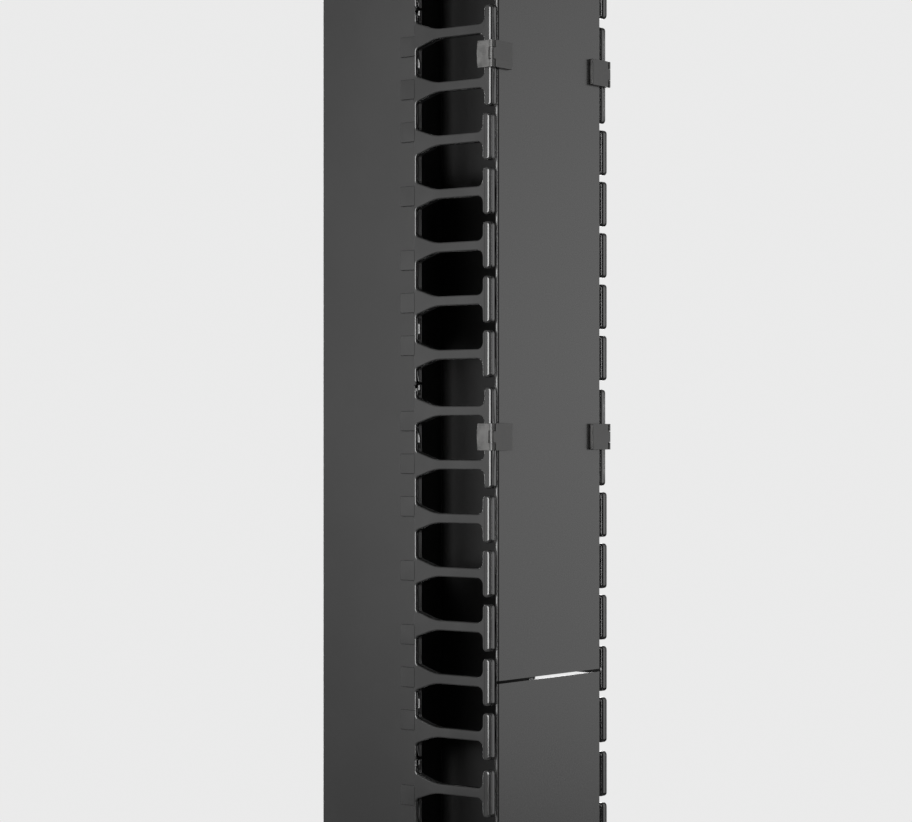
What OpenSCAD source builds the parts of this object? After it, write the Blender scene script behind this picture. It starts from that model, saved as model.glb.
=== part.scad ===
// Vertical cable manager: a folded steel trough with moulded finger combs on both
// front edges and two hinged covers held by clips on the wide finger heads.
// Units: mm. +Z up, +X to the right, front towards -Y, origin at the centre of the base.

/* [Overall] */
// Width across the finger combs
width = 165; // [150:1:300]
// Depth from the front of the fingers to the back of the side panels
depth = 183.4; // [170:0.2:300]
// Height of one rack unit, about the pitch of the fingers
unit_h = 44.45; // [42:0.05:48]
// Plain height below the lowest finger and above the highest
end_height = 66.675; // [64:0.025:100]

/* [Fingers] */
// Thickness of a finger, seen from the front
finger_t = 8; // [6.5:0.1:10]
// Length of a finger from its front face to the bottom of the slot
finger_l = 77.7; // [65:0.1:85]
// Height of the plain bar of a finger
bar_h = 8; // [5:0.1:12]
// Height of a finger at its root
root_h = 21.5; // [14:0.1:26]
// Length of the taper at the root
flare_l = 20; // [8:0.5:30]
// Depth of the T-head, front to back
head_d = 7.5; // [5.5:0.1:9]
// Gap between two neighbouring heads
head_gap = 5.6; // [4:0.1:9]
// Corner radius of a head, seen from the side
head_r = 3.2; // [1:0.1:3.6]
// Radius of the front edges of a head, seen from above
edge_r = 2.3; // [1:0.1:3]
// Fillet between a bar and its head
armpit_r = 5.5; // [2:0.1:8]
// Gap between two combs stacked on each other
comb_gap = 2.2; // [1:0.1:4]
// How far a wide head is set in from the other heads
wide_inset = 2.2; // [1.6:0.1:3]

/* [Comb fixing] */
// Thickness of the lip that covers the edge of the side panel
lip_t = 1.6; // [1:0.1:3]
// Depth of the fixing tabs behind the lip
tab_l = 15.3; // [9:0.1:20]
// Height of a fixing tab
tab_h = 16.6; // [9:0.1:24]
// Thickness of the tabs outside the panel
tab_t = 1.7; // [1.4:0.1:2.4]
// Corner radius of a tab
tab_r = 0.8; // [0.2:0.1:2]
// Pitch of the tabs; the middle one stands half a pitch further off
tab_pitch = 35.5; // [27:0.5:38]
// Depth of the spine inside the panel
spine_l = 18; // [10:0.5:30]
// Diameter of the pegs that snap into the panel
peg_d = 6; // [3:0.1:8]
// Clearance round a peg
peg_clear = 0.2; // [0.1:0.05:0.4]
// Clearance between a comb and the panel it grips
grip_clear = 0.1; // [0.05:0.05:0.2]
// Length of the ribbed release tip behind the middle tab
tip_l = 4.6; // [2:0.1:8]

/* [Sheet steel] */
// Thickness of the side panels, cross plates and end plates
sheet_t = 1.5; // [1:0.1:2]
// Outside radius of a bend
bend_r = 2.5; // [2.1:0.1:4]
// Width of the flange at the back of a side panel
rear_flange = 42.7; // [30:0.1:60]
// Gap between the cross plates and the side panels
back_gap = 1.2; // [0.5:0.1:2]
// Height of the cable windows between the cross plates at the back
window_h = 190; // [80:1:260]

/* [End plates] */
// Height of the flange round an end plate
end_flange = 30; // [24:0.5:32]
// Gap between the cover's hem and the front flange
toe_gap = 9.2; // [4:0.1:12]
// Width of the cable opening
port_w = 100; // [60:1:104]
// Depth of the cable opening
port_d = 106; // [60:1:112]
// Corner radius of the cable opening
port_r = 12; // [4:0.5:20]
// Diameter of the anchor holes
anchor_d = 9; // [6:0.1:11]
// Spacing of the anchor holes across the width
anchor_x = 128; // [118:1:132]
// Spacing of the anchor holes front to back
anchor_y = 138; // [126:1:142]

/* [Rack fixing] */
// Diameter of the holes for the rack bolts
rack_hole_d = 10.3; // [7:0.1:12]
// Spacing of a pair of rack holes, front to back
rack_hole_y = 50.8; // [30:0.1:60]
// Height of the rack holes from each end
rack_hole_z = 46; // [42:0.5:56]

/* [Covers] */
// Thickness of a cover's sheet
cover_t = 1.6; // [1:0.1:2]
// Gap between the folded sheets of a hem
hem_gap = 0.6; // [0.2:0.1:1]
// Width of the hem along a cover's edge
hem_w = 5.4; // [3:0.1:7]
// Gap between a cover and a wide head
cover_gap = 0.8; // [0.6:0.1:2]
// Gap between the two covers
cover_joint = 2.4; // [1:0.1:5]
// Gap between a cover and the end of the trough
cover_end = 3; // [1:0.5:10]

/* [Clips] */
// Height of a clip
clip_h = 22; // [18:0.5:26]
// Reach of a clip's flap from the outer face of the fingers
clip_reach = 27; // [26:0.1:36]
// Distance that the flap stands proud of the cover
clip_proud = 3.4; // [3:0.1:5]
// Thickness of the flap where it crosses the head
flap_t = 2; // [1.4:0.1:2.4]
// How far a clip's bracket reaches back
clip_back = 13.4; // [11:0.1:20]
// Outside diameter of the knuckles
knuckle_d = 4.2; // [3.6:0.1:5]
// How far the knuckles stand outside the fingers
knuckle_out = 0.6; // [0.2:0.1:1]
// Height of a bracket's knuckle
knuckle_h = 6; // [4:0.1:7]
// Diameter of the hinge pin
pin_d = 2; // [1.4:0.1:2.4]
// Thickness of the bracket left above and below its pin
pin_end = 1; // [0.6:0.1:2]
// Clearance between the flap's jaw and its pin, on the radius
jaw_clear = 0.1; // [0.05:0.01:0.1]
// Clearance between a bracket and the parts that move past it
knuckle_gap = 0.4; // [0.2:0.05:0.6]
// Thickness of the hook behind the head
hook_t = 2; // [1:0.1:3]
// Width of the hook behind the head
hook_w = 4; // [2:0.1:6]
// Diameter of the studs that hold a flap on its cover
stud_d = 4; // [3:0.1:5]
// Spacing of the two studs of a flap
stud_pitch = 11; // [9:0.5:14]

/* [Rivets] */
// Diameter of a rivet's shank
rivet_d = 4; // [3:0.1:5]
// Diameter of a rivet's head
rivet_head_d = 8; // [6:0.1:9]
// Height of a rivet's head
rivet_head_h = 1.2; // [0.8:0.1:1.5]
// Distance of a rivet from the edge of a cross plate
rivet_inset = 12; // [8:0.5:16]

/* [Hidden] */
$fn = 48;

// Combs: six of seven fingers and a short one on top. The wide head is at the lower end
// of the first three, and at the upper end of the next three.
FULL = 7;
SHORT = 3;
COMBS = 7;
TURNED_FROM = 4;
LOWER_CLIPS = [1, 8, 15];
UPPER_CLIPS = [27, 34, 41];

total_u = (COMBS - 1) * FULL + SHORT;
height = total_u * unit_h + 2 * end_height;
front_y = clip_proud - (clip_proud + depth + rivet_head_h) / 2;
panel_x = tab_t + grip_clear;
panel_y = finger_l + lip_t + grip_clear;
panel_in = panel_x + sheet_t;
tab_y = finger_l + lip_t;
cover_half = width / 2 - wide_inset - finger_t - cover_gap;
cover_h = height / 2 - cover_joint / 2 - cover_end;
knuckle_r = knuckle_d / 2;
pin_x = knuckle_r - knuckle_out;
pin_y = knuckle_r - clip_proud;
jaw_r = pin_d / 2 + jaw_clear;
hem_r = cover_t + hem_gap / 2;
pad_x = width / 2 - cover_half + hem_r;
stud_x = width / 2 - cover_half + hem_w + stud_d;
end_front = 2 * hem_r + toe_gap;
end_back = depth - 2 * sheet_t - grip_clear;
end_half = width / 2 - panel_in - grip_clear;
end_mid = (end_front + end_back) / 2;
panel_mid = (panel_y + depth) / 2;
windows = floor(height / (window_h * 1.8));
plate_rivet_x = panel_x + rear_flange / 2;
bulb_d = rivet_d * 1.5;
bulb_h = rivet_d / 2;
cut = 1;

function fingers_of(i) = i < COMBS ? FULL : SHORT;
function comb_z(i) = end_height + (i - 1) * FULL * unit_h;
function comb_length(n) = n * unit_h - comb_gap;
function clip_z(u) = end_height + u * unit_h;
function tab_offsets(n) = [
    for (k = [-3.5, -2.5, -1.5, 0, 1.5, 2.5, 3.5])
        if (abs(k) * tab_pitch + tab_h / 2 < comb_length(n) / 2) k * tab_pitch
];

// ---------------------------------------------------------------- shared shapes

// Puts a shape drawn from the outer front corner (x inwards, y back) on the left side.
module on_left() translate([-width / 2, front_y, 0]) children();

module on_right() mirror([1, 0, 0]) on_left() children();

// Extrudes a drawing of (y, z) along X.
module along_x(length) rotate([90, 0, 90]) linear_extrude(length) children();

// Extrudes a drawing of (x, z) along Y.
module along_y(length) translate([0, length, 0]) rotate([90, 0, 0]) linear_extrude(length) children();

module rounded_rect(w, h, r) {
    translate([r, 0]) square([w - 2 * r, h]);
    translate([0, r]) square([w, h - 2 * r]);
    for (x = [r, w - r], y = [r, h - r]) translate([x, y]) circle(r);
}

module inner_fillet(r) difference() {
    square(r);
    translate([r, r]) circle(r);
}

// A bend from the -x direction to the +y direction, round the origin.
module bend(r, t) intersection() {
    difference() {
        circle(r);
        circle(r - t);
    }
    translate([-r, 0]) square(r);
}

// A blind rivet along +Z: head below the origin, shank and set end through the sheets.
module rivet(grip) {
    translate([0, 0, -rivet_head_h])
        cylinder(h = rivet_head_h, d1 = rivet_head_d * 0.7, d2 = rivet_head_d);
    cylinder(h = grip + bulb_h, d = rivet_d);
    translate([0, 0, grip]) cylinder(h = bulb_h, d = bulb_d);
}

// ---------------------------------------------------------------- sheet-steel trough

module side_panel() color([0.2, 0.2, 0.2]) difference() {
    linear_extrude(height) {
        translate([panel_x, panel_y]) square([sheet_t, depth - panel_y - bend_r]);
        translate([panel_x + bend_r, depth - bend_r]) bend(bend_r, sheet_t);
        translate([panel_x + bend_r, depth - sheet_t]) square([rear_flange - bend_r, sheet_t]);
    }
    panel_peg_holes();
    for (y = [-1, 1], z = [rack_hole_z, height - rack_hole_z])
        translate([panel_x - cut, panel_mid + y * rack_hole_y / 2, z])
            rotate([0, 90, 0]) cylinder(h = sheet_t + 2 * cut, d = rack_hole_d);
    for (p = end_rivet_places())
        translate([panel_x - cut, p.x, p.y])
            rotate([0, 90, 0]) cylinder(h = sheet_t + 2 * cut, d = rivet_d + 2 * peg_clear);
    for (z = plate_rivet_heights())
        translate([plate_rivet_x, depth - sheet_t - cut, z])
            rotate([-90, 0, 0]) cylinder(h = sheet_t + 2 * cut, d = rivet_d + 2 * peg_clear);
}

module panel_peg_holes() for (i = [1 : COMBS], off = tab_offsets(fingers_of(i)))
    translate([panel_x - cut, tab_y + tab_l / 2, comb_z(i) + fingers_of(i) * unit_h / 2 + off])
        rotate([0, 90, 0]) cylinder(h = sheet_t + 2 * cut, d = peg_d + 2 * peg_clear);

function end_rivet_places() = [
    for (y = [-1, 1], z = [end_flange / 2, height - end_flange / 2])
        [panel_mid + y * rack_hole_y / 2, z]
];

// Lower and upper edge of each cross plate.
function plate_spans() = [
    for (k = [0 : windows]) [
        k == 0 ? 0 : height * (k - 0.5) / windows + window_h / 2,
        k == windows ? height : height * (k + 0.5) / windows - window_h / 2
    ]
];

function plate_rivet_heights() = [
    for (span = plate_spans(), z = [
        max(span[0], end_flange) + rivet_inset, min(span[1], height - end_flange) - rivet_inset
    ]) z
];

// Cross plates on the inner faces of the rear flanges, with the cable windows between them.
module cross_plates() color([0.2, 0.2, 0.2]) {
    half = width / 2 - panel_in - back_gap;
    translate([0, front_y + depth - 2 * sheet_t, 0]) difference() {
        for (span = plate_spans()) translate([-half, 0, span[0]])
            cube([2 * half, sheet_t, span[1] - span[0]]);
        for (side = [-1, 1], z = plate_rivet_heights())
            translate([side * (width / 2 - plate_rivet_x), -cut, z])
                rotate([-90, 0, 0]) cylinder(h = sheet_t + 2 * cut, d = rivet_d + 2 * peg_clear);
    }
}

module cross_plate_rivets() color([0.25, 0.25, 0.25])
    for (side = [-1, 1], z = plate_rivet_heights())
        translate([side * (width / 2 - plate_rivet_x), front_y + depth, z])
            rotate([90, 0, 0]) rivet(2 * sheet_t);

// A folded tray: plate, side flanges, and front and back flanges, open at the corners.
module end_plate() color([0.2, 0.2, 0.2]) {
    deep = end_back - end_front;
    translate([0, front_y, 0]) difference() {
        union() {
            translate([-end_half + bend_r, end_front + bend_r, 0])
                cube([2 * (end_half - bend_r), deep - 2 * bend_r, sheet_t]);
            for (side = [0, 1]) mirror([side, 0, 0])
                translate([-end_half, end_front + 2 * bend_r, 0])
                    along_y(deep - 4 * bend_r) flange_profile();
            translate([0, end_mid, 0]) for (side = [0, 1]) mirror([0, side, 0])
                translate([-end_half + 2 * bend_r, -deep / 2, 0])
                    along_x(2 * end_half - 4 * bend_r) flange_profile();
        }
        translate([-port_w / 2, end_mid - port_d / 2, -cut])
            linear_extrude(sheet_t + 2 * cut) rounded_rect(port_w, port_d, port_r);
        for (x = [-1, 1], y = [-1, 1])
            translate([x * anchor_x / 2, end_mid + y * anchor_y / 2, -cut])
                cylinder(h = sheet_t + 2 * cut, d = anchor_d);
        for (side = [0, 1], p = end_rivet_places()) if (p.y < height / 2) mirror([side, 0, 0])
            translate([-end_half - cut, p.x, p.y])
                rotate([0, 90, 0]) cylinder(h = sheet_t + 2 * cut, d = rivet_d + 2 * peg_clear);
    }
}

// Upright flange with its bend: the sheet lies along +x from the bend.
module flange_profile() {
    translate([bend_r, bend_r]) rotate(90) bend(bend_r, sheet_t);
    translate([0, bend_r]) square([sheet_t, end_flange - bend_r]);
    translate([bend_r, 0]) square([bend_r, sheet_t]);
}

module top_plate() translate([0, 0, height]) mirror([0, 0, 1]) end_plate();

module end_plate_rivets() color([0.25, 0.25, 0.25])
    for (side = [0, 1], p = end_rivet_places()) mirror([side, 0, 0]) on_left()
        translate([panel_x, p.x, p.y]) rotate([0, 90, 0]) rivet(2 * sheet_t + grip_clear);

// ---------------------------------------------------------------- finger combs

// Side view of fingers that share one head: bars at the given heights, (y, z).
module finger_side(bars, low, high) {
    translate([0, low]) rounded_rect(head_d, high - low, head_r);
    for (z = bars) translate([0, z]) for (side = [0, 1]) mirror([0, side]) {
        translate([head_d / 2, 0]) square([finger_l - head_d / 2 + cut, bar_h / 2]);
        translate([head_d, bar_h / 2]) inner_fillet(armpit_r);
        polygon([
            [finger_l - flare_l, 0], [finger_l - flare_l, bar_h / 2],
            [finger_l, root_h / 2], [finger_l + cut, root_h / 2], [finger_l + cut, 0]
        ]);
    }
}

// Plan of a finger, (x, y): its head is set in, and its bar runs out to the spine.
module finger_plan(inset) {
    polygon([
        [inset, edge_r], [inset + finger_t, edge_r], [inset + finger_t, head_d],
        [finger_t, finger_l], [finger_t, finger_l + cut],
        [0, finger_l + cut], [0, finger_l], [inset, head_d]
    ]);
    translate([inset + edge_r, 0]) square([finger_t - 2 * edge_r, edge_r]);
    for (x = [edge_r, finger_t - edge_r]) translate([inset + x, edge_r]) circle(edge_r);
}

module finger(bars, low, high, inset) intersection() {
    translate([-cut, 0, 0]) along_x(finger_t + inset + 2 * cut) finger_side(bars, low, high);
    translate([0, 0, low - cut]) linear_extrude(high - low + 2 * cut) finger_plan(inset);
}

// Plan of the spine, (x, y): a lip over the panel's edge and a bar inside the panel.
module spine_plan() {
    translate([0, finger_l]) square([finger_t, lip_t]);
    translate([panel_in + grip_clear, finger_l])
        square([finger_t - panel_in - grip_clear, spine_l]);
}

// A tab outside the panel, with the peg that snaps into it.
module tab() {
    translate([0, finger_l + lip_t / 2, -tab_h / 2])
        along_x(tab_t) rounded_rect(tab_l + lip_t / 2, tab_h, tab_r);
    translate([tab_t, tab_y + tab_l / 2, 0])
        rotate([0, 90, 0]) cylinder(h = sheet_t, d = peg_d);
}

// Ribbed tip behind the middle tab, which lifts to release the comb.
module release_tip() {
    base = tab_t * 0.4;
    translate([base, tab_y + tab_l - cut, -tab_h / 3])
        cube([tab_t - base, tip_l + cut, tab_h * 2 / 3]);
    for (k = [-1, 0, 1]) translate([0, tab_y + tab_l - cut, k * tab_h / 4 - base / 2])
        cube([tab_t, tip_l + cut, base]);
}

// A comb with its lowest heads joined into a wide one where wide is true.
module comb(n, wide) color([0.24, 0.24, 0.24]) {
    pitch = comb_length(n) / n;
    head = (pitch - head_gap) / 2;
    start = comb_gap / 2;
    translate([0, 0, start]) {
        linear_extrude(comb_length(n)) spine_plan();
        for (k = [wide ? 2 : 0 : n - 1]) translate([0, 0, (k + 0.5) * pitch])
            finger([0], -head, head, 0);
        if (wide) translate([0, 0, pitch])
            finger([-pitch / 2, pitch / 2], -pitch / 2 - head, pitch / 2 + head, wide_inset);
    }
    translate([0, 0, n * unit_h / 2]) {
        for (off = tab_offsets(n)) translate([0, 0, off]) tab();
        release_tip();
    }
}

// Comb number i of a side; from TURNED_FROM on the wide head is at the upper end.
module stacked_comb(i) translate([0, 0, comb_z(i)])
    if (i < TURNED_FROM) comb(FULL, true);
    else if (i == COMBS) comb(SHORT, false);
    else translate([0, 0, FULL * unit_h]) mirror([0, 0, 1]) comb(FULL, true);

// ---------------------------------------------------------------- covers

// Plan of a cover, (x, y), centred on x: a flat sheet with both edges hemmed.
module cover_plan() {
    flat = cover_half - hem_r;
    translate([-flat, 0]) square([2 * flat, cover_t]);
    for (side = [0, 1]) mirror([side, 0]) {
        translate([cover_half - hem_w, cover_t + hem_gap]) square([hem_w - hem_r, cover_t]);
        translate([flat, hem_r]) intersection() {
            difference() {
                circle(hem_r);
                circle(hem_gap / 2);
            }
            translate([0, -hem_r]) square(2 * hem_r);
        }
    }
}

module cover(low, clips) color([0.22, 0.22, 0.22]) translate([0, front_y, 0]) difference() {
    translate([0, 0, low]) linear_extrude(cover_h) cover_plan();
    for (side = [-1, 1], u = clips, z = [-1, 1])
        translate([side * (width / 2 - stud_x), -cut, clip_z(u) + z * stud_pitch / 2])
            rotate([-90, 0, 0]) cylinder(h = cover_t + 2 * cut, d = stud_d + 2 * peg_clear);
}

module lower_cover() cover(cover_end, LOWER_CLIPS);

module upper_cover() cover(height / 2 + cover_joint / 2, UPPER_CLIPS);

// ---------------------------------------------------------------- clips

// Flap of a clip: a plate riveted on the cover, with an open jaw round the hinge pin.
module flap() color([0.32, 0.32, 0.32]) {
    plate_x = pin_x + knuckle_r + knuckle_gap;
    jaw_h = clip_h - 2 * (knuckle_h + knuckle_gap);
    difference() {
        union() {
            translate([plate_x, -clip_proud, -clip_h / 2]) intersection() {
                along_y(clip_proud) rounded_rect(clip_reach - plate_x, clip_h, edge_r / 2);
                linear_extrude(clip_h) {
                    square([clip_reach - plate_x - edge_r / 2, flap_t]);
                    translate([pad_x - plate_x, 0])
                        rounded_rect(clip_reach - pad_x, clip_proud, edge_r / 2);
                }
            }
            translate([pin_x, pin_y, -jaw_h / 2]) cylinder(h = jaw_h, r = knuckle_r);
            translate([pin_x, -clip_proud, -jaw_h / 2]) cube([knuckle_r + 2 * knuckle_gap, flap_t, jaw_h]);
        }
        translate([pin_x, pin_y, -jaw_h / 2 - cut]) linear_extrude(jaw_h + 2 * cut) {
            circle(jaw_r);
            translate([-jaw_r, 0]) square([2 * jaw_r, 2 * knuckle_r]);
        }
    }
    for (z = [-1, 1]) translate([stud_x, 0, z * stud_pitch / 2]) rotate([-90, 0, 0]) {
        cylinder(h = cover_t, d = stud_d);
        translate([0, 0, cover_t]) cylinder(h = flap_t / 2, d = stud_d * 1.5);
    }
}

// Bracket of a clip: hooked round the wide head, with a knuckle above and below the jaw.
module bracket() color([0.32, 0.32, 0.32]) difference() {
    union() {
        intersection() {
            linear_extrude(clip_h, center = true) {
                translate([0, pin_y]) square([wide_inset, clip_back - pin_y]);
                translate([0, head_d + grip_clear]) square([wide_inset + hook_w, hook_t]);
            }
            translate([-cut, 0, 0]) along_x(wide_inset + hook_w + 2 * cut) bracket_side();
        }
        for (side = [0, 1]) mirror([0, 0, side])
            translate([pin_x, pin_y, clip_h / 2 - knuckle_h]) cylinder(h = knuckle_h, r = knuckle_r);
    }
    translate([pin_x, pin_y, 0])
        cylinder(h = clip_h - 2 * pin_end, d = pin_d + grip_clear / 2, center = true);
    translate([-clip_h / 2, pin_y - knuckle_r - cut, knuckle_h - clip_h / 2])
        cube([clip_h, 2 * knuckle_r + knuckle_gap + cut, clip_h - 2 * knuckle_h]);
}

// Side view of a bracket, (y, z): its back edge is bowed.
module bracket_side() intersection() {
    translate([pin_y, -clip_h / 2]) square([clip_back - pin_y, clip_h]);
    translate([clip_back - 3 * clip_h, 0]) circle(3 * clip_h, $fn = 192);
}

module hinge_pin() color([0.6, 0.6, 0.62])
    translate([pin_x, pin_y, 0]) cylinder(h = clip_h - 2 * (pin_end + grip_clear), d = pin_d, center = true);

module at_clips(clips) for (u = clips) translate([0, 0, clip_z(u)]) children();

// ---------------------------------------------------------------- nodes

end_plate();  // base_plate
top_plate();
on_left() side_panel();  // left_side_panel
on_right() side_panel();  // right_side_panel
cross_plates();
cross_plate_rivets();
end_plate_rivets();
for (i = [1 : COMBS]) {
    on_left() stacked_comb(i);
    on_right() stacked_comb(i);
}
on_left() at_clips(LOWER_CLIPS) bracket();  // lower_left_brackets
on_right() at_clips(LOWER_CLIPS) bracket();  // lower_right_brackets
on_left() at_clips(UPPER_CLIPS) bracket();  // upper_left_brackets
on_right() at_clips(UPPER_CLIPS) bracket();  // upper_right_brackets
union() {  // lower_hinge_pins
    on_left() at_clips(LOWER_CLIPS) hinge_pin();
    on_right() at_clips(LOWER_CLIPS) hinge_pin();
}
union() {  // upper_hinge_pins
    on_left() at_clips(UPPER_CLIPS) hinge_pin();
    on_right() at_clips(UPPER_CLIPS) hinge_pin();
}
lower_cover();
upper_cover();
on_left() at_clips(LOWER_CLIPS) flap();  // lower_left_flaps
on_right() at_clips(LOWER_CLIPS) flap();  // lower_right_flaps
on_left() at_clips(UPPER_CLIPS) flap();  // upper_left_flaps
on_right() at_clips(UPPER_CLIPS) flap();  // upper_right_flaps
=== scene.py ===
import math

import bmesh
import bpy
from mathutils import Matrix, Vector


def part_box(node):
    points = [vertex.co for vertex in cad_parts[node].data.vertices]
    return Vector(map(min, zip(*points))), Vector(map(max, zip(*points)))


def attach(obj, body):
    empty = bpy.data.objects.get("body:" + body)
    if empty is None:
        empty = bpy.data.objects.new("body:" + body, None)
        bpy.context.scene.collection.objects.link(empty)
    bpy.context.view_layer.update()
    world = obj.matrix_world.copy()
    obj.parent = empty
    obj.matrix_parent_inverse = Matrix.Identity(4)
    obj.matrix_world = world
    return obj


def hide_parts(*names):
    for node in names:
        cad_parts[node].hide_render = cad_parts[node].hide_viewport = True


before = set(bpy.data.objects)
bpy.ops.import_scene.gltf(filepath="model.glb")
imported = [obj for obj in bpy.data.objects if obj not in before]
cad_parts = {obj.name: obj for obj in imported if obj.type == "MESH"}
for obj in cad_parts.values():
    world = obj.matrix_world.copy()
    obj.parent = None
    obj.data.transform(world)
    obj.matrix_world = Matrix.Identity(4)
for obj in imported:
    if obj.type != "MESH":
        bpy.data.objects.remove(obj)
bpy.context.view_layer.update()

# ------------------------------------------------------------------ studio
# A level camera at chest height looks at the left front corner of the manager from its
# left, with a long lens. The picture shows about 0.65 m of the manager's height.

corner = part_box("left_comb_4")[0]
eye_height = 1.270
eye_distance = 2.059
eye_offset = 0.0272
turn = math.radians(51.17)
lens_mm = 100.3
rise = 22 / 912

ahead = Vector((math.sin(turn), math.cos(turn), 0))
across = Vector((math.cos(turn), -math.sin(turn), 0))
camera = bpy.data.objects.new("camera", bpy.data.cameras.new("camera"))
camera.location = corner.xy.to_3d() - eye_distance * ahead - eye_offset * across
camera.location.z = eye_height
camera.rotation_euler = (math.pi / 2, 0, -turn)
camera.data.lens = lens_mm
camera.data.sensor_width = 36
camera.data.shift_y = rise
bpy.context.collection.objects.link(camera)
scene = bpy.context.scene
scene.camera = camera
scene.view_settings.view_transform = "Standard"


class Sum:
    """A value in a shader: a socket on which sums are written as plain expressions."""

    def __init__(self, tree, socket=None):
        self.tree = tree
        self.socket = socket

    def node(self, kind, sockets=(), output=0, **settings):
        """Any other node: its kind, its settings, and the values or links of its sockets."""
        made = self.tree.nodes.new(kind)
        for name, value in settings.items():
            setattr(made, name, value)
        for name, value in dict(sockets).items():
            socket = next(s for s in made.inputs if name in (s.identifier, s.name))
            if isinstance(value, Sum):
                self.tree.links.new(value.socket, socket)
            else:
                socket.default_value = value
        found = made.outputs[output] if made.outputs else None
        return Sum(self.tree, found)

    def maths(self, operation, first, second):
        sockets = {"Value": first, "Value_001": second}
        return self.node("ShaderNodeMath", sockets, operation=operation)

    def __add__(self, other):
        return self.maths("ADD", self, other)

    def __sub__(self, other):
        return self.maths("SUBTRACT", self, other)

    def __rsub__(self, other):
        return self.maths("SUBTRACT", other, self)

    def __mul__(self, other):
        return self.maths("MULTIPLY", self, other)

    __radd__ = __add__
    __rmul__ = __mul__

    def between(self, low, high):
        """0 at low, 1 at high, and level beyond them."""
        sockets = {"Value": self, "From Min": low, "From Max": high}
        return self.node("ShaderNodeMapRange", sockets, interpolation_type="SMOOTHSTEP")

    def mix(self, first, second):
        """A colour from first where this value is 0 to second where it is 1."""
        sockets = {"Factor_Float": self, "A_Color": first, "B_Color": second}
        return self.node("ShaderNodeMix", sockets, output=2, data_type="RGBA")


def grey(level, warmth=0.0):
    """An opaque colour of that sRGB level out of 255, a little yellow with warmth."""
    linear = (level / 255) ** 2.2
    return (linear * (1 + warmth / 2), linear, linear * (1 - warmth), 1)


# The backdrop is a pale grey all round, brightest in reflections at the object's height. The
# room behind the camera is dark, so that black plastics show dark reflections between the
# bright ones.
backdrop = grey(234)
black = (0, 0, 0, 1)
fill_level = 0.15
band_height = 0.025
band_fall = 3.2
band_least = 0.3
world = bpy.data.worlds.new("studio")
scene.world = world
world.use_nodes = True
world.node_tree.nodes.clear()
room = Sum(world.node_tree)
direction = room.node("ShaderNodeTexCoord", output=0)
facing = room.node(
    "ShaderNodeVectorMath", {"Vector": direction, "Vector_001": -ahead}, output=1,
    operation="DOT_PRODUCT",
)
dark_end = facing.between(0.25, 0.65)
path = "ShaderNodeLightPath"
seen = room.node(path, output=0) + room.node(path, output=6)
glossy = room.node(path, output=3)
above = room.node("ShaderNodeSeparateXYZ", {"Vector": direction}, output=2)
level_band = 1 - band_fall * room.maths("ABSOLUTE", above - band_height, 0)
brightness = room.maths("MAXIMUM", level_band, band_least)
pale = brightness.mix(black, grey(203))
reflected = dark_end.mix(pale, grey(20))
lit = glossy.mix((fill_level, fill_level, fill_level, 1), reflected)
shown = room.maths("MINIMUM", seen, 1).mix(lit, backdrop)
sky = room.node("ShaderNodeBackground", {"Color": shown, "Strength": 1.0})
room.node("ShaderNodeOutputWorld", {"Surface": sky})


def softbox(name, place, aim, width, height, power):
    """A rectangular lamp at a place, turned to its aim, with its power in watts."""
    lamp = bpy.data.objects.new(name, bpy.data.lights.new(name, "AREA"))
    lamp.data.shape = "RECTANGLE"
    lamp.data.size = width
    lamp.data.size_y = height
    lamp.data.energy = power
    lamp.location = place
    lamp.rotation_euler = (Vector(aim) - Vector(place)).to_track_quat("-Z", "Y").to_euler()
    bpy.context.collection.objects.link(lamp)


softbox("left_softbox", (-1.5, -0.1, 1.45), (0, 0, 1.33), 1.4, 1.2, 34)
softbox("front_softbox", (1.3, -1.0, 1.4), (0, 0, 1.33), 1.6, 1.6, 5)
softbox("rear_softbox", (1.4, 1.5, 1.3), (0, 0, 1.1), 1.2, 1.8, 30)

floor_mesh = bmesh.new()
bmesh.ops.create_circle(floor_mesh, cap_ends=True, segments=96, radius=6)
floor = bpy.data.objects.new("floor", bpy.data.meshes.new("floor"))
floor_mesh.to_mesh(floor.data)
floor_mesh.free()
bpy.context.collection.objects.link(floor)


def finish(name, **constants):
    """A new surface finish: its material, and its main shader with these plain values."""
    material = bpy.data.materials.new(name)
    material.use_nodes = True
    shader = material.node_tree.nodes["Principled BSDF"]
    for socket, value in constants.items():
        shader.inputs[socket.replace("_", " ")].default_value = value
    return material, shader


def feed(shader, socket, value):
    """Links a value to a socket of a main shader."""
    shader.id_data.links.new(value.socket, shader.inputs[socket])


# The floor is as pale as the backdrop to the camera, and lights nothing.
floor_paint, floor_shader = finish(
    "floor_paint", Base_Color=grey(110), Roughness=0.9, Emission_Strength=1.0
)
s = Sum(floor_paint.node_tree)
feed(floor_shader, "Emission Color", s.node(path, output=0).mix(black, grey(228)))
floor.data.materials.append(floor_paint)


# ------------------------------------------------------------------ steel trough
# Side panels and end plates are folded sheet steel, and the cross plates flat sheet, all with
# a fine-textured black powder coat. The plates are riveted on the panels' flanges and walls.

coat, coat_shader = finish("trough_powder_coat", Specular_IOR_Level=0.8)
s = Sum(coat.node_tree)
place = s.node("ShaderNodeTexCoord", output=3)
cloud = s.node("ShaderNodeTexNoise", {"Vector": place, "Scale": 9.0, "Detail": 3.0})
grain = s.node("ShaderNodeTexNoise", {"Vector": place, "Scale": 900.0, "Detail": 2.0})
patches = (cloud * 0.7 + grain * 0.3).between(0.3, 0.7)
texture = s.node("ShaderNodeBump", {"Height": grain, "Strength": 0.15, "Distance": 0.0002})
feed(coat_shader, "Base Color", patches.mix(grey(40), grey(45)))
feed(coat_shader, "Roughness", 0.27 + grain * 0.08)
feed(coat_shader, "Normal", texture)


def paint(name, material):
    """Gives a CAD node one finish."""
    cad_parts[name].data.materials.clear()
    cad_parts[name].data.materials.append(material)


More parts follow.
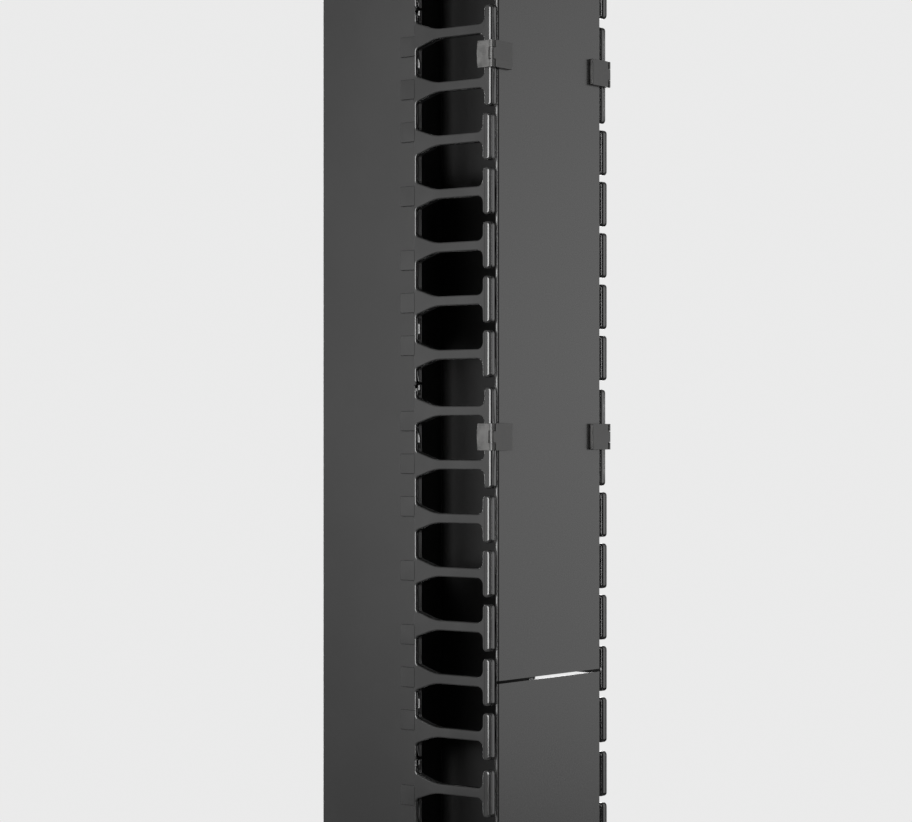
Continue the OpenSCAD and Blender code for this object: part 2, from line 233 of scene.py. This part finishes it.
for name in ("left_side_panel", "right_side_panel", "cross_plates", "base_plate", "top_plate"):
    paint(name, coat)


# ------------------------------------------------------------------ finger combs
# Each comb is one moulding in black nylon: seven fingers with T-heads, two of them under
# one wide head, and a spine whose tabs snap on the front edge of a side panel.

MM = 0.001
finger_t = 8
finger_l = 77.7
bar_h = 8
root_h = 21.5
flare_l = 20
head_d = 7.5
head_gap = 5.6
lip_t = 1.6
wide_inset = 2.2
comb_gap = 2.2
panel_room = 3.4
spine_l = 18
tab_pitch = 35.5
tab_l = 15.3
tab_h = 16.6
tab_t = 1.7
head_r = 3.2
armpit_r = 5.5
flare_r = 6
slot_r = 2
tab_edge = 0.5
head_edge = 2.3
rim = 1.0
rack_unit = 44.45


def finger_corners(pitch, joined):
    """Corners (y, z, round) of a finger seen from the side, from slot to slot."""
    half = pitch / 2
    head = half - head_gap / 2
    root = [(finger_l + lip_t, half, 0), (finger_l, half, 0), (finger_l, root_h / 2, slot_r)]
    bar = [(finger_l - flare_l, bar_h / 2, flare_r), (head_d, bar_h / 2, armpit_r)]
    tee = [(head_d, head, head_r), (0, head, head_r)]
    cut_tee = [(head_d, half, 0), (0, half, 0)]
    lower = root + bar + (cut_tee if joined else tee)
    return root + bar + tee + [(y, -z, r) for y, z, r in reversed(lower)]


def rounded_plate(corners):
    """A flat face through these corners (y, z, round), with its corners rounded."""
    bm = bmesh.new()
    points = [(bm.verts.new((0, y, z)), r) for y, z, r in corners]
    bm.faces.new([v for v, r in points])
    for size in sorted({r for v, r in points if r}):
        bmesh.ops.bevel(
            bm, geom=[v for v, r in points if r == size], offset=size, segments=6,
            profile=0.5, affect="VERTICES", material=-1, clamp_overlap=True,
        )
    return bm


def thicken(bm, faces, *steps):
    """Extrudes flat faces along X in steps."""
    for step in steps:
        grown = bmesh.ops.extrude_face_region(bm, geom=faces)["geom"]
        faces = [f for f in grown if isinstance(f, bmesh.types.BMFace)]
        moved = [v for v in grown if isinstance(v, bmesh.types.BMVert)]
        bmesh.ops.translate(bm, verts=moved, vec=(step, 0, 0))


def one_finger(pitch, joined):
    """A finger between the middles of two slots, open where its neighbours go on."""
    bm = rounded_plate(finger_corners(pitch, joined))
    thicken(bm, bm.faces[:], panel_room, finger_t - panel_room)
    ends = [f for f in bm.faces if all(abs(abs(v.co.z) - pitch / 2) < 1e-4 for v in f.verts)]
    bmesh.ops.delete(bm, geom=ends, context="FACES_ONLY")
    inner = [e for e in bm.edges if not e.link_faces]
    bmesh.ops.delete(bm, geom=inner, context="EDGES")
    return bm


def add_shape(bm, other, matrix):
    """Adds a copy of another shape, placed by a matrix."""
    shape = bpy.data.meshes.new("copy")
    other.to_mesh(shape)
    shape.transform(matrix)
    if matrix.is_negative:
        shape.flip_normals()
    bm.from_mesh(shape)
    bpy.data.meshes.remove(shape)


def box_shape(low, high, edge):
    """A box with rounded edges."""
    bm = bmesh.new()
    size = Vector(high) - Vector(low)
    middle = (Vector(high) + Vector(low)) / 2
    bmesh.ops.create_cube(bm, size=1, matrix=Matrix.LocRotScale(middle, None, size))
    bmesh.ops.bevel(
        bm, geom=bm.edges[:], offset=edge, segments=2, profile=0.5, affect="EDGES",
        material=-1,
    )
    return bm


def comb_shape(count, wide):
    """A comb from its lower end: x inwards from its outer face, y back, in mm."""
    length = count * rack_unit - comb_gap
    pitch = length / count
    bm = bmesh.new()
    plain = one_finger(pitch, False)
    first = 0
    if wide:
        joined = one_finger(pitch, True)
        upside_down = Matrix.Scale(-1, 4, (0, 0, 1))
        add_shape(bm, joined, Matrix.Translation((0, 0, 1.5 * pitch)))
        add_shape(bm, joined, Matrix.Translation((0, 0, pitch / 2)) @ upside_down)
        joined.free()
        first = 2
    for k in range(first, count):
        add_shape(bm, plain, Matrix.Translation((0, 0, (k + 0.5) * pitch)))
    plain.free()
    bmesh.ops.remove_doubles(bm, verts=bm.verts[:], dist=0.01)
    bmesh.ops.holes_fill(bm, edges=[e for e in bm.edges if e.is_boundary], sides=0)
    # Flat seams between the fingers' cells are dissolved before the rims are rounded.
    seams = [
        e for e in bm.edges
        if all(abs(v.co.y - finger_l) < 1e-3 for v in e.verts) and len(e.link_faces) == 2
        and abs(e.verts[0].co.x - e.verts[1].co.x) > 1 and e.calc_face_angle() < 0.01
    ]
    bmesh.ops.dissolve_edges(bm, edges=seams, use_verts=False)
    bmesh.ops.recalc_face_normals(bm, faces=bm.faces[:])

    # Rims are rounded by the weight of their edges, most at the front of the heads.
    weight = bm.edges.layers.float.new("bevel_weight_edge")
    for e in bm.edges:
        if len(e.link_faces) != 2 or abs(e.verts[0].co.x - e.verts[1].co.x) > 1e-4:
            continue
        flat = sorted(abs(f.normal.x) for f in e.link_faces)
        y = (e.verts[0].co.y + e.verts[1].co.y) / 2
        if flat[0] < 0.1 and flat[1] > 0.9 and y < finger_l + lip_t - 0.01:
            e[weight] = 1 - (1 - rim / head_edge) * min(1, y / head_d)

    # The bar inside the panel grows from the rear face beyond the lip.
    back = [
        f for f in bm.faces
        if f.normal.y > 0.9 and f.calc_center_median().y > finger_l + lip_t - 0.1
        and f.calc_center_median().x > panel_room
    ]
    grown = bmesh.ops.extrude_face_region(bm, geom=back)["geom"]
    moved = [v for v in grown if isinstance(v, bmesh.types.BMVert)]
    bmesh.ops.translate(bm, verts=moved, vec=(0, spine_l - lip_t, 0))
    bmesh.ops.delete(bm, geom=back, context="FACES")

    # The wide head is set in, and its two bars run out to the spine.
    if wide:
        for v in bm.verts:
            if v.co.z < 2 * pitch and v.co.y < finger_l:
                v.co.x += wide_inset * min(1, (finger_l - v.co.y) / (finger_l - head_d))

    middle = length / 2
    for k in (-3.5, -2.5, -1.5, 0, 1.5, 2.5, 3.5):
        z = k * tab_pitch
        if abs(z) + tab_h / 2 < middle:
            tab = box_shape(
                (0, finger_l + lip_t / 2, middle + z - tab_h / 2),
                (tab_t, finger_l + lip_t + tab_l, middle + z + tab_h / 2), tab_edge,
            )
            add_shape(bm, tab, Matrix())
            tab.free()
    bmesh.ops.translate(bm, verts=bm.verts[:], vec=(0, 0, comb_gap / 2))
    return bm


def piece(name, bm):
    """A finished object from a shape in mm."""
    bmesh.ops.scale(bm, verts=bm.verts[:], vec=(MM, MM, MM))
    made = bpy.data.objects.new(name, bpy.data.meshes.new(name))
    bm.to_mesh(made.data)
    bm.free()
    bpy.context.collection.objects.link(made)
    return made


nylon, nylon_shader = finish("comb_black_nylon", Specular_IOR_Level=1.0)
s = Sum(nylon.node_tree)
place = s.node("ShaderNodeTexCoord", output=3)
cloud = s.node("ShaderNodeTexNoise", {"Vector": place, "Scale": 30.0, "Detail": 3.0})
grain = s.node("ShaderNodeTexNoise", {"Vector": place, "Scale": 1500.0, "Detail": 2.0})
feed(nylon_shader, "Base Color", cloud.between(0.3, 0.7).mix(grey(44), grey(50)))
feed(nylon_shader, "Roughness", 0.13 + cloud * 0.06)
texture = s.node("ShaderNodeBump", {"Height": grain, "Strength": 0.08, "Distance": 0.0001})
feed(nylon_shader, "Normal", texture)

comb_count = 7
turned_from = 4
long_fingers = 7
short_fingers = 3
long_comb = comb_shape(long_fingers, True)
short_comb = comb_shape(short_fingers, False)
for side, flip in (("left", 1), ("right", -1)):
    for number in range(1, comb_count + 1):
        node = f"{side}_comb_{number}"
        low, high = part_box(node)
        shape = (long_comb if number < comb_count else short_comb).copy()
        height = (high.z - low.z) / MM + comb_gap
        if turned_from <= number < comb_count:
            bmesh.ops.scale(shape, verts=shape.verts[:], vec=(1, 1, -1))
            bmesh.ops.translate(shape, verts=shape.verts[:], vec=(0, 0, height))
            bmesh.ops.reverse_faces(shape, faces=shape.faces[:])
        if flip < 0:
            bmesh.ops.scale(shape, verts=shape.verts[:], vec=(-1, 1, 1))
            bmesh.ops.reverse_faces(shape, faces=shape.faces[:])
        edge = low.x if flip > 0 else high.x
        start = low.z - comb_gap / 2 * MM
        bmesh.ops.translate(
            shape, verts=shape.verts[:], vec=Vector((edge, low.y, start)) / MM
        )
        comb = piece(node + "_moulding", shape)
        comb.data.shade_smooth()
        comb.data.materials.append(nylon)
        rounding = comb.modifiers.new("rounded_rims", "BEVEL")
        rounding.limit_method = "WEIGHT"
        rounding.width = head_edge * MM
        rounding.segments = 4
        rounding.profile = 0.5
        rounding.use_clamp_overlap = False
        even = comb.modifiers.new("even_shading", "WEIGHTED_NORMAL")
        even.keep_sharp = True
        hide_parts(node)
        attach(comb, "root")
long_comb.free()
short_comb.free()


# ------------------------------------------------------------------ covers
# Two covers of sheet steel, each a flat sheet with both long edges hemmed, in a smoother
# satin black coat. They hang on the clips of their right edge.

satin, satin_shader = finish("cover_satin_coat", Specular_IOR_Level=0.9)
s = Sum(satin.node_tree)
place = s.node("ShaderNodeTexCoord", output=3)
stretched = s.node("ShaderNodeMapping", {"Vector": place, "Scale": (1, 1, 0.25)})
sway_and_dip_shade = s.node("ShaderNodeTexNoise", {"Vector": stretched, "Scale": 5.0, "Detail": 1.0})
grain = s.node("ShaderNodeTexNoise", {"Vector": place, "Scale": 1200.0, "Detail": 2.0})
# The coat's colour is a little darker in the dips of the sheet's waves: painted shade of the
# ripples, beside their real bump.
feed(satin_shader, "Base Color", sway_and_dip_shade.between(0.3, 0.7).mix(grey(33, 0.03), grey(36, 0.03)))
feed(satin_shader, "Roughness", 0.24 + grain * 0.08)
waves = s.node("ShaderNodeBump", {"Height": sway_and_dip_shade, "Strength": 0.4, "Distance": 0.0006})
feed(satin_shader, "Normal", waves)
for name in ("lower_cover", "upper_cover"):
    paint(name, satin)


# ------------------------------------------------------------------ clips
# Each clip is two mouldings in dark grey plastic: a bracket hooked round a wide head, and a
# flap riveted on the cover, whose open jaw snaps on the bracket's steel pin.

mottled, mottled_shader = finish("clip_grey_plastic", Specular_IOR_Level=0.8)
s = Sum(mottled.node_tree)
place = s.node("ShaderNodeTexCoord", output=3)
cloud = s.node("ShaderNodeTexNoise", {"Vector": place, "Scale": 120.0, "Detail": 3.0})
ribs = s.node("ShaderNodeTexWave", {"Vector": place, "Scale": 180.0}, output=1, bands_direction="Z")
feed(mottled_shader, "Base Color", cloud.between(0.3, 0.75).mix(grey(56, 0.03), grey(80, 0.03)))
feed(mottled_shader, "Roughness", 0.3 + cloud * 0.25)
relief = {"Height": cloud + ribs * 0.3, "Strength": 0.35, "Distance": 0.0003}
feed(mottled_shader, "Normal", s.node("ShaderNodeBump", relief))

clip_edge = 0.7
for cover in ("lower", "upper"):
    for part, rides in (("left_brackets", "root"), ("right_brackets", "root"),
                        ("left_flaps", f"{cover}_cover"), ("right_flaps", f"{cover}_cover")):
        node = f"{cover}_{part}"
        shape = bmesh.new()
        shape.from_mesh(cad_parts[node].data)
        bmesh.ops.transform(shape, matrix=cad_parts[node].matrix_world, verts=shape.verts[:])
        bmesh.ops.remove_doubles(shape, verts=shape.verts[:], dist=1e-5)
        bmesh.ops.dissolve_limit(
            shape, angle_limit=math.radians(1), verts=shape.verts[:], edges=shape.edges[:]
        )
        bmesh.ops.recalc_face_normals(shape, faces=shape.faces[:])
        bmesh.ops.scale(shape, verts=shape.verts[:], vec=(1 / MM, 1 / MM, 1 / MM))
        clip = piece(node + "_moulding", shape)
        clip.data.shade_smooth()
        clip.data.materials.append(mottled)
        rounding = clip.modifiers.new("rounded_edges", "BEVEL")
        rounding.limit_method = "ANGLE"
        rounding.angle_limit = math.radians(50)
        rounding.width = clip_edge * MM
        rounding.segments = 3
        rounding.profile = 0.5
        even = clip.modifiers.new("even_shading", "WEIGHTED_NORMAL")
        even.keep_sharp = True
        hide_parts(node)
        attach(clip, rides)


# ------------------------------------------------------------------ pins and rivets
# The hinge pins are drawn steel rod. Blind rivets, painted with the trough, hold the cross
# plates and the end plates on the side panels.

steel, steel_shader = finish("pin_drawn_steel", Metallic=1.0)
s = Sum(steel.node_tree)
place = s.node("ShaderNodeTexCoord", output=3)
cloud = s.node("ShaderNodeTexNoise", {"Vector": place, "Scale": 900.0, "Detail": 2.0})
feed(steel_shader, "Base Color", cloud.mix(grey(140), grey(165)))
feed(steel_shader, "Roughness", 0.25 + cloud * 0.15)
painted, painted_shader = finish("rivet_black_paint", Specular_IOR_Level=0.8)
s = Sum(painted.node_tree)
place = s.node("ShaderNodeTexCoord", output=3)
cloud = s.node("ShaderNodeTexNoise", {"Vector": place, "Scale": 400.0, "Detail": 2.0})
feed(painted_shader, "Base Color", cloud.mix(grey(24), grey(32)))
feed(painted_shader, "Roughness", 0.25 + cloud * 0.2)
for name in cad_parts:
    if name.endswith(("pins", "rivets")):
        paint(name, steel if name.endswith("pins") else painted)
